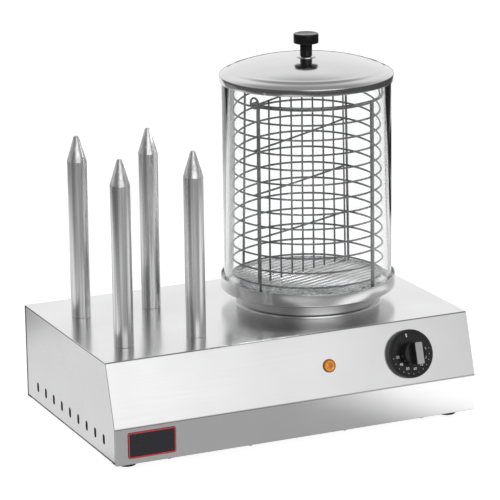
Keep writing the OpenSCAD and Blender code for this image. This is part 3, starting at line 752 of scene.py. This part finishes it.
def build_bail():
    """The bail handle, bent in at both ends to turn in two welded eyes."""
    eyes = Shape()
    for turn in (BAIL_TURN, BAIL_TURN + 180):
        t = math.radians(turn)
        out = Vector((math.cos(t), math.sin(t), 0))
        across = Vector((-math.sin(t), math.cos(t), 0))
        centre = Vector((AXIS.x, AXIS.y, BAIL_Z)) + out * (RING_R - 2.3 * MM)
        loop = [centre + 6 * MM * (across * math.cos(a) + Vector((0, 0, 1)) * math.sin(a))
                for a in (math.tau * i / 48 for i in range(48))]
        eyes.wire(loop, 1.2 * MM, 12, True)
    piece(eyes.build("eyes", sharp=60), "basket", "basket_wire", shaded_wire_metal, "bail_eyes")
    arc_r, bend, tip = 91.5 * MM, 4 * MM, 81 * MM
    line = [(tip + (arc_r - bend - tip) * i / 4, 0.0) for i in range(5)]
    for i in range(1, 6):
        a = math.radians(90 * i / 5)
        line.append((arc_r - bend + bend * math.sin(a), -bend * (1 - math.cos(a))))
    start = math.degrees(math.asin(bend / arc_r))
    points = [Vector((x, y, 0)) for x, y in line]
    for i in range(1, 120):
        t = math.radians(-start - (180 - 2 * start) * i / 120)
        points.append(Vector((arc_r * math.cos(t), arc_r * math.sin(t), 0)))
    points += [Vector((-x, y, 0)) for x, y in reversed(line)]
    turn = Matrix.Translation((AXIS.x, AXIS.y, BAIL_Z)) @ Matrix.Rotation(math.radians(BAIL_TURN), 4, "Z")
    bail = Shape().wire([turn @ p for p in points], 1.5 * MM, 14)
    piece(bail.build("bail_handle", sharp=60), "bail", "basket_wire", shaded_wire_metal, "basket_bail")


# ---------------------------------------------------------------- lid

def build_lid():
    """Spun lid: a low dome, a step, and a band that drops over the glass."""
    rim = LID_LOW + 8.8 * MM
    rise = APEX_Z - rim
    def dome(r):
        return rim + rise * (1 - (r / LID_R) ** 3)

    steps = 26
    crown = [2.7 * MM + (89 * MM - 2.7 * MM) * i / steps for i in range(steps + 1)]
    outer = ([(r, dome(r)) for r in crown]
             + [(90.8 * MM, rim + 6.1 * MM), (92.4 * MM, rim + 4.6 * MM), (94 * MM, rim + 3.9 * MM),
                (97 * MM, rim + 2.9 * MM), (99.8 * MM, rim + 1.7 * MM), (101.3 * MM, rim + 0.6 * MM)]
             + corner_arc(LID_R - 1.4 * MM, rim - 1.4 * MM, 1.4 * MM, 60, 0, 4)
             + corner_arc(LID_R - 0.5 * MM, LID_LOW + 0.5 * MM, 0.5 * MM, 0, -180, 8))
    inner = ([(LID_R - SHEET, rim - 1.6 * MM), (99.4 * MM, rim - 0.4 * MM), (96.6 * MM, rim + 1.7 * MM),
              (94 * MM, rim + 2.8 * MM), (91.8 * MM, rim + 3.7 * MM), (90.2 * MM, rim + 5.0 * MM)]
             + [(r, dome(r) - SHEET) for r in reversed(crown)])
    lid = Shape().lathe(outer + inner, 256, AXIS)
    piece(lid.build("lid_dome", sharp=50), "lid", "steel_lid", spun_lid, "lid_shell")


def build_knob():
    """T-shaped phenolic knob on a bright washer."""
    washer_low, washer_high = heights("knob_washer")
    profile = ([(2.7 * MM, washer_low), (11.4 * MM, washer_low)]
               + corner_arc(11.0 * MM, washer_low + 0.4 * MM, 0.4 * MM, 0, 80, 3)
               + [(9.6 * MM, washer_low + 1.2 * MM), (8.8 * MM, washer_high - 0.1 * MM),
                  (8.0 * MM, washer_high), (2.7 * MM, washer_high)])
    washer = Shape().lathe(profile, 96, AXIS)
    piece(washer.build("washer"), "lid", "steel_lid", spun_lid, "knob_washer")
    base, top = KNOB_LOW, KNOB_TOP
    disc = top - 11.5 * MM
    profile = ([(2.6 * MM, base), (6.4 * MM, base)] + corner_arc(6.4 * MM, base + 0.8 * MM, 0.8 * MM, -60, 30, 4)
               + [(7.2 * MM, base + 4 * MM), (7.2 * MM, base + 9 * MM), (7.3 * MM, disc - 1.4 * MM)]
               + corner_arc(8.8 * MM, disc - 1.3 * MM, 1.3 * MM, 170, 100, 4)
               + corner_arc(KNOB_R - 0.9 * MM, disc + 0.9 * MM, 0.9 * MM, 270, 360, 5)
               + corner_arc(KNOB_R - 1.2 * MM, top - 1.2 * MM, 1.2 * MM, 0, 80, 6)
               + [(KNOB_R - 3.2 * MM, top - 0.15 * MM), (KNOB_R - 4.4 * MM, top - 0.5 * MM), (0, top - 0.5 * MM)]
               + [(0, base + 14 * MM), (2.6 * MM, base + 14 * MM)])
    knob = Shape().lathe(profile, 128, AXIS)
    piece(knob.build("knob"), "lid", "black_plastic", phenolic, "lid_knob")


# ---------------------------------------------------------------- spikes

def build_spike(name):
    """Drawn tube with a turned cone and a small blunt tip."""
    node = "spike_" + name
    low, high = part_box(node)
    r = radius_of(node)
    shoulder = high.z - 30 * MM
    profile = ([(5.2 * MM, low.z), (7 * MM, low.z), (7 * MM, TOP_Z + 0.02 * MM)]
               + corner_arc(r - 0.5 * MM, TOP_Z + 0.52 * MM, 0.5 * MM, 270, 360, 4)
               + corner_arc(r - 0.8 * MM, shoulder, 0.8 * MM, 0, 16, 3)
               + [(3.0 * MM, high.z - 0.9 * MM), (2.6 * MM, high.z - 0.25 * MM), (1.9 * MM, high.z),
                  (0, high.z), (0, shoulder - 8 * MM), (5.2 * MM, shoulder - 10 * MM)])
    spike = Shape().lathe(profile, 96, middle(node))
    piece(spike.build("bun_spike_" + name, sharp=25), "base", "aluminium_spike", spike_metal, node)


# ---------------------------------------------------------------- controls

def build_lamp():
    """Amber lens: a low dome in a raised ring."""
    r = radius_of("pilot_lamp_lens")
    profile = ([(0, 0.02 * MM), (r, 0.02 * MM)] + corner_arc(r - 0.6 * MM, 1.0 * MM, 0.6 * MM, 0, 80, 4)
               + [(r - 1.1 * MM, 1.5 * MM), (r - 1.5 * MM, 1.75 * MM)]
               + [(x * MM, (3.6 - 0.045 * x * x) * MM) for x in (5.6, 4.6, 3.4, 2.2, 1.1, 0)])
    lens = Shape().lathe(profile, 96)
    piece(lens.build("lamp_lens", on_slope("pilot_lamp_lens")), "base", "amber_lens", amber, "pilot_lamp_lens")


def build_dial():
    """Thermostat dial: ribbed skirt, print ring, hub, bar grip with a grey inlay, and numerals."""
    at = on_slope("dial_spindle")
    r, face = radius_of("dial_skirt"), 6.6 * MM
    ribs = 72
    profile = ([(3.02 * MM, 3.4 * MM), (r - 2.4 * MM, 3.4 * MM), (r - 2.4 * MM, 1 * MM), (r, 1 * MM), (r, 5.6 * MM)]
               + corner_arc(r - 1.3 * MM, 5.7 * MM, 1.3 * MM, 10, 90, 6)
               + corner_arc(r - 3.2 * MM, 6.8 * MM, 0.2 * MM, 90, 180, 3)
               + [(r - 3.6 * MM, face), (3.02 * MM, face)])
    skirt = Shape().lathe(profile, ribs * 4)
    for k, (vx, vy, vz) in enumerate(skirt.verts):
        distance = math.hypot(vx, vy)
        if distance > r - 0.2 * MM and k % 4 in (0, 1):
            shrink = (distance - 0.45 * MM) / distance
            skirt.verts[k] = (vx * shrink, vy * shrink, vz)
    piece(skirt.build("dial_skirt_ribbed", at, 40), "dial", "black_plastic", phenolic, "dial_skirt")

    hub_r, hub_top = 14.0 * MM, 19 * MM
    profile = ([(3.02 * MM, face + 0.02 * MM), (hub_r, face + 0.02 * MM)]
               + corner_arc(hub_r - 1.6 * MM, hub_top - 1.4 * MM, 1.4 * MM, 10, 90, 6)
               + [(0, hub_top), (0, 14.02 * MM), (3.02 * MM, 14.02 * MM)])
    hub = Shape().lathe(profile, 128)
    piece(hub.build("dial_hub", at), "dial", "black_plastic", phenolic)

    grip = Shape().prism(rounded_rectangle(10.0 * MM, 26.2 * MM, 1.2 * MM), hub_top - 6 * MM, 28.8 * MM)
    bar = eased(grip.build("dial_grip_bar", at), 0.7 * MM, 4)
    piece(bar, "dial", "black_plastic", phenolic, "dial_grip")

    strip = Shape().prism(rounded_rectangle(8.9 * MM, 25.1 * MM, 0.9 * MM), 28.4 * MM, 29.4 * MM)
    inlay = eased(strip.build("dial_grip_inlay", at), 0.3 * MM, 3)
    piece(inlay, "dial", "grey_inlay", inlay_grey, "grip_inlay")
    build_dial_print(at, r, face)


# Turns of the dial's print, clockwise from its top in degrees
POINTER_TURN = -8.3
DOT_START, DOT_PITCH, DOT_COUNT = 81, 16.5, 12
NUMERAL_TURNS = {30: 263, 40: 233, 50: 203, 60: 172, 70: 142, 80: 111, 90: 80}


def build_dial_print(at, r, face):
    """Printed pointer mark, dots and plain temperature numerals."""
    marks = Shape()
    low, high = face - 0.05 * MM, face + 0.08 * MM

    def on_dial(turn, distance, outline):
        a = math.radians(turn)
        return [(math.sin(a) * (distance + y) + math.cos(a) * x, math.cos(a) * (distance + y) - math.sin(a) * x)
                for x, y in outline]

    marks.prism(on_dial(POINTER_TURN, r - 6.6 * MM, rounded_rectangle(1.3 * MM, 4.4 * MM, 0.3 * MM, 2)), low, high)
    dot = rounded_rectangle(0.8 * MM, 0.8 * MM, 0.39 * MM, 2)
    for k in range(DOT_COUNT):
        marks.prism(on_dial(DOT_START + DOT_PITCH * k, r - 5.0 * MM, dot), low, high)
    piece(marks.build("dial_marks", at), "dial", "grey_inlay", print_white)
    for number, turn in NUMERAL_TURNS.items():
        curve = bpy.data.curves.new(f"numeral_{number}", "FONT")
        curve.body = str(number)
        curve.size = 4.4 * MM
        curve.align_x = "CENTER"
        curve.align_y = "CENTER"
        curve.extrude = 0.06 * MM
        curve.resolution_u = 3
        text = bpy.data.objects.new(f"numeral_{number}", curve)
        bpy.context.scene.collection.objects.link(text)
        mesh = bpy.data.meshes.new_from_object(text.evaluated_get(bpy.context.evaluated_depsgraph_get()))
        bpy.data.objects.remove(text)
        solid = bpy.data.objects.new(f"dial_numeral_{number}", mesh)
        bpy.context.scene.collection.objects.link(solid)
        a = math.radians(turn)
        distance = r - 10.4 * MM
        mesh.transform(at @ Matrix.Translation((math.sin(a) * distance, math.cos(a) * distance, face + 0.03 * MM)))
        piece(solid, "dial", "grey_inlay", print_white)


# ---------------------------------------------------------------- kept CAD nodes

KEPT = {
    galvanised: ("bottom_plate", "heater_clamp_plate"),
    zinc: ("foot_screws", "panel_screws", "thermostat_screws", "spike_nuts", "pilot_lamp_nut", "dial_spindle",
           "knob_screw"),
    inner_steel: ("tank_flange",),
    plate_steel: ("steam_plate",),
    sheath: ("boiler_heater", "spike_heaters"),
    bakelite: ("thermal_cutout",),
    ceramic: ("thermostat_body", "terminal_block"),
    copper: ("thermostat_bulb",),
    lamp_plastic: ("pilot_lamp_body",),
    loom_cover: ("wiring_loom",),
    rubber: ("cable_gland", "gland_locknut"),
    brass: ("earth_stud",),
}


def dress_kept_nodes():
    # Painted shade in the middle of the steam plate.
    stain_middle(plate_steel, AXIS, 48 * MM, 58 * MM, 0.2)
    for material, names in KEPT.items():
        for name in names:
            for slot in nodes[name].material_slots:
                slot.material = material


# ---------------------------------------------------------------- studio

def build_camera():
    """Seen from the front left and a little above, very nearly level."""
    azimuth, elevation, roll = math.radians(-24.29), math.radians(15.01), math.radians(-0.76)
    target, distance = Vector((0.00444, 0.0, 0.19603)), 3.2286
    back = Vector((math.sin(azimuth) * math.cos(elevation), -math.cos(azimuth) * math.cos(elevation),
                   math.sin(elevation)))
    data = bpy.data.cameras.new("camera")
    data.sensor_width = 36
    data.lens = 197.84
    camera = bpy.data.objects.new("camera", data)
    bpy.context.scene.collection.objects.link(camera)
    level_right = Vector((math.cos(azimuth), math.sin(azimuth), 0))
    level_up = back.cross(level_right)
    right = level_right * math.cos(roll) + level_up * math.sin(roll)
    up = level_up * math.cos(roll) - level_right * math.sin(roll)
    facing = Matrix((right, up, back)).transposed().to_4x4()
    camera.matrix_world = Matrix.Translation(target + back * distance) @ facing
    bpy.context.scene.camera = camera


def toward(azimuth, elevation):
    """Unit vector; azimuth 0 is +Y and 90 is +X, in degrees."""
    a, e = math.radians(azimuth), math.radians(elevation)
    return Vector((math.sin(a) * math.cos(e), math.cos(a) * math.cos(e), math.sin(e)))


# The surround's own brightness, and soft panels in it: azimuth, elevation, inner and outer half angle, brightness
SURROUND_BASE = 0.6
SURROUND = (
    (204, 0, 40, 110, 0.22),
    (24, 8, 28, 62, 1.0),
    (0, 90, 20, 52, 0.36),
    (182, 17, 6, 40, 1.5),
)

# What polished metal sees in the floor: its own brightness, and patches given as centre, size across and deep,
# softness, brightness
FLOOR_BASE = 0.09
FLOOR_TONES = (
    (0.0, 0.0, 0.75, 0.75, 0.9, 0.43),
    (-0.52, -0.78, 0.36, 0.26, 0.5, 0.72),
    (0.5, 1.6, 0.9, 1.2, 0.3, 1.0),
    (-0.6, 0.55, 0.45, 0.4, 0.5, 0.95),
    (-0.95, 1.4, 0.35, 0.4, 0.4, 0.27),
    (-0.3, 0.5, 0.1, 0.12, 0.6, 0.35),
    (-0.42, 0.12, 0.2, 0.28, 0.45, 0.9),
    (0.75, 0.02, 0.25, 0.3, 0.6, 0.55),
    (1.0, 0.88, 0.32, 0.32, 0.5, 0.05),
    (0.57, -0.33, 0.33, 0.3, 0.55, 1.3),
)


def soft_step(tree, value, start, end):
    ramp = tree.nodes.new("ShaderNodeMapRange")
    ramp.interpolation_type = "SMOOTHSTEP"
    ramp.inputs["From Min"].default_value = start
    ramp.inputs["From Max"].default_value = end
    tree.links.new(value, ramp.inputs["Value"])
    return ramp.outputs["Result"]


def layer(tree, below, amount, bright):
    """Lays a brightness over the one below, by amount."""
    mix = tree.nodes.new("ShaderNodeMix")
    mix.data_type = "RGBA"
    if isinstance(below, float):
        mix.inputs["A"].default_value = (below, below, below, 1)
    else:
        tree.links.new(below, mix.inputs["A"])
    mix.inputs["B"].default_value = (bright, bright, bright, 1)
    tree.links.new(amount, mix.inputs["Factor"])
    return mix.outputs["Result"]


def build_world():
    world = bpy.data.worlds.new("studio")
    world.use_nodes = True
    bpy.context.scene.world = world
    tree = world.node_tree
    direction = tree.nodes.new("ShaderNodeTexCoord").outputs["Generated"]
    value = SURROUND_BASE
    for azimuth, elevation, inner, outer, bright in SURROUND:
        dot = tree.nodes.new("ShaderNodeVectorMath")
        dot.operation = "DOT_PRODUCT"
        dot.inputs[1].default_value = toward(azimuth, elevation)
        tree.links.new(direction, dot.inputs[0])
        amount = soft_step(tree, dot.outputs["Value"], math.cos(math.radians(outer)),
                           math.cos(math.radians(inner)))
        value = layer(tree, value, amount, bright)
    tree.links.new(value, tree.nodes["Background"].inputs["Color"])


def flat_card(name, corners, z):
    return Shape().add([(x, y, z) for x, y in corners], [[0, 1, 2, 3]]).build(name)


def glowing_material(name):
    """A material that only glows, with its node tree and the input for its colour."""
    material = bpy.data.materials.new(name)
    material.use_nodes = True
    tree = material.node_tree
    tree.nodes.remove(tree.nodes["Principled BSDF"])
    emission = tree.nodes.new("ShaderNodeEmission")
    tree.links.new(emission.outputs[0], tree.nodes["Material Output"].inputs["Surface"])
    return material, tree, emission.inputs["Color"]


STUDIO_FLOOR = ((-9, -6), (9, -6), (9, 14), (-9, 14))


def build_floor():
    """Pale floor, evenly lit from within a little, so that shadows stay soft."""
    plane = flat_card("floor", STUDIO_FLOOR, -0.6 * MM)
    make = Nodes("pale_floor")
    make.set(Base_Color=(0.3, 0.3, 0.3, 1), Roughness=0.9, Emission_Color=(1, 1, 1, 1), Emission_Strength=0.9,
             Specular_IOR_Level=0.0)
    plane.data.materials.append(make.material)


def shown_only_in(obj, reflections, refractions):
    """Hides a card from the view itself and from the light it would give."""
    obj.visible_camera = False
    obj.visible_diffuse = False
    obj.visible_shadow = False
    obj.visible_glossy = reflections
    obj.visible_transmission = refractions


def build_floor_tones():
    """The floor's grey and white cards, which show only in polished metal."""
    plane = flat_card("floor_cards", STUDIO_FLOOR, -0.3 * MM)
    material, tree, colour = glowing_material("floor_cards")
    place = tree.nodes.new("ShaderNodeTexCoord").outputs["Object"]
    value = FLOOR_BASE
    for x, y, across, deep, soft, bright in FLOOR_TONES:
        mapping = tree.nodes.new("ShaderNodeMapping")
        mapping.vector_type = "TEXTURE"
        mapping.inputs["Location"].default_value = (x, y, 0)
        mapping.inputs["Scale"].default_value = (across, deep, 1)
        tree.links.new(place, mapping.inputs["Vector"])
        length = tree.nodes.new("ShaderNodeVectorMath")
        length.operation = "LENGTH"
        tree.links.new(mapping.outputs["Vector"], length.inputs[0])
        amount = soft_step(tree, length.outputs["Value"], 1 + soft, 1.0)
        value = layer(tree, value, amount, bright)
    tree.links.new(value, colour)
    plane.data.materials.append(material)
    shown_only_in(plane, True, False)


# Azimuth that the view looks along, and how near and how far the cards behind the glass reach
VIEW_AHEAD = 24.3
FLAG_NEAR, FLAG_FAR = 0.3, 3.0


def build_flag(name, side, inner, outer, bright):
    """A card on the floor behind, fanned out between two angles, which draws one edge of the glass."""
    ahead, across = toward(VIEW_AHEAD, 0), toward(VIEW_AHEAD + 90 * side, 0)
    corners = []
    for distance, angle in ((FLAG_NEAR, inner), (FLAG_FAR, inner), (FLAG_FAR, outer), (FLAG_NEAR, outer)):
        point = ahead * distance + across * (GLASS_R + distance * math.tan(math.radians(angle)))
        corners.append((AXIS.x + point.x, AXIS.y + point.y))
    flag = flat_card(name, corners, 0.2 * MM)
    material, _, colour = glowing_material(name)
    colour.default_value = (bright, bright, bright, 1)
    flag.data.materials.append(material)
    shown_only_in(flag, False, True)


def build_light(name, at, target, size, power):
    data = bpy.data.lights.new(name, "AREA")
    data.shape = "RECTANGLE"
    data.size, data.size_y = size
    data.energy = power
    light = bpy.data.objects.new(name, data)
    bpy.context.scene.collection.objects.link(light)
    light.location = at
    light.rotation_euler = (Vector(target) - Vector(at)).to_track_quat("-Z", "Y").to_euler()
    light.visible_camera = False
    light.visible_glossy = False


def build_studio():
    build_camera()
    build_world()
    build_floor()
    build_floor_tones()
    build_flag("flag_right", 1, 13, 29, 0.02)
    build_flag("flag_left", -1, 5, 29, 0.34)
    build_light("key_softbox", (-1.1, -1.2, 1.9), (0, 0, 0.15), (1.2, 1.0), 14)
    build_light("pan_glow", (AXIS.x, AXIS.y, BAIL_Z + 0.01), (AXIS.x, AXIS.y, PLATE_TOP), (0.08, 0.08), 0.9)
    build_light("fill_softbox", (1.6, -0.6, 1.2), (0, 0, 0.2), (0.8, 1.4), 6)
    bpy.context.scene.view_settings.view_transform = "Standard"


# ---------------------------------------------------------------- the whole

build_studio()
build_wrap()
build_end_panel("end_panel_left", -1)
build_end_panel("end_panel_right", 1)
build_feet()
build_badge()
build_neck()
build_pan()
build_glass()
build_cage()
build_divider()
build_rack()
build_bail()
build_lid()
build_knob()
for spike_name in SPIKES:
    build_spike(spike_name)
build_lamp()
build_dial()
dress_kept_nodes()
